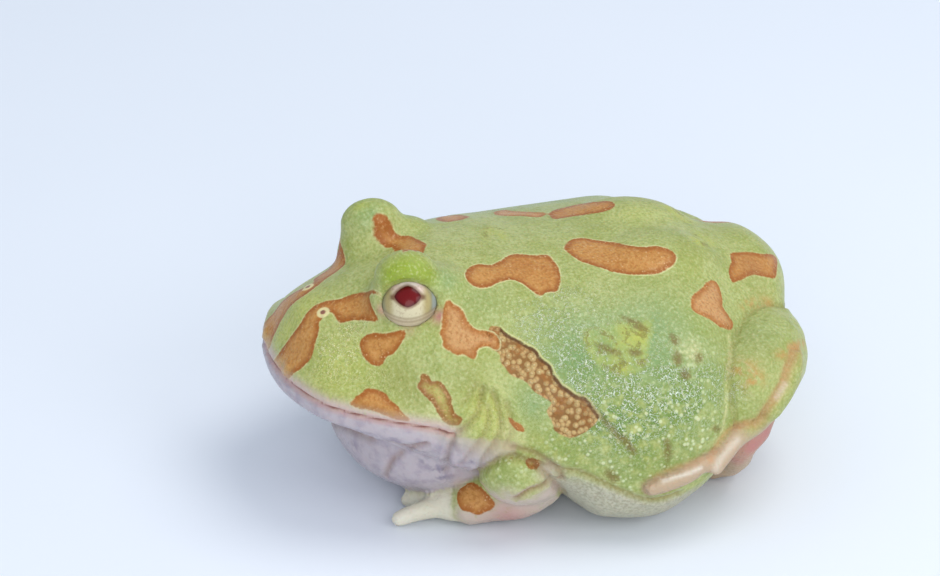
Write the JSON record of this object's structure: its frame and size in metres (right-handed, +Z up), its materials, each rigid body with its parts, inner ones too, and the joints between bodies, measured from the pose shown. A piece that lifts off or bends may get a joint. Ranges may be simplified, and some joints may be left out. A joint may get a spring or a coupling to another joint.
{
  "type": "argentine horned frog",
  "caption": "Squat broad-mouthed horned frog resting on its belly with folded hind legs, a still life-size figure.",
  "frame": {"origin": "on the floor under the middle of the frog's bounding box", "axes": "+Z up; -Y the way the frog faces, along its back; +X the frog's left side"},
  "size_m": [0.0648, 0.0782, 0.0409],
  "materials": {
    "skin": "moist yellow-green skin, satin",
    "pale_skin": "moist pale lilac-cream skin, satin",
    "eye": "wet gloss"
  },
  "bodies": {
    "root": {"head": "skin", "lower_jaw": "pale_skin", "torso": "skin", "eye_left": "eye", "eye_right": "eye", "arm_left": "skin", "arm_right": "skin", "hand_left": "pale_skin", "hand_right": "pale_skin", "thigh_left": "skin", "thigh_right": "skin", "shank_left": "skin", "shank_right": "skin", "foot_left": "pale_skin", "foot_right": "pale_skin"}
  },
  "joints": []
}
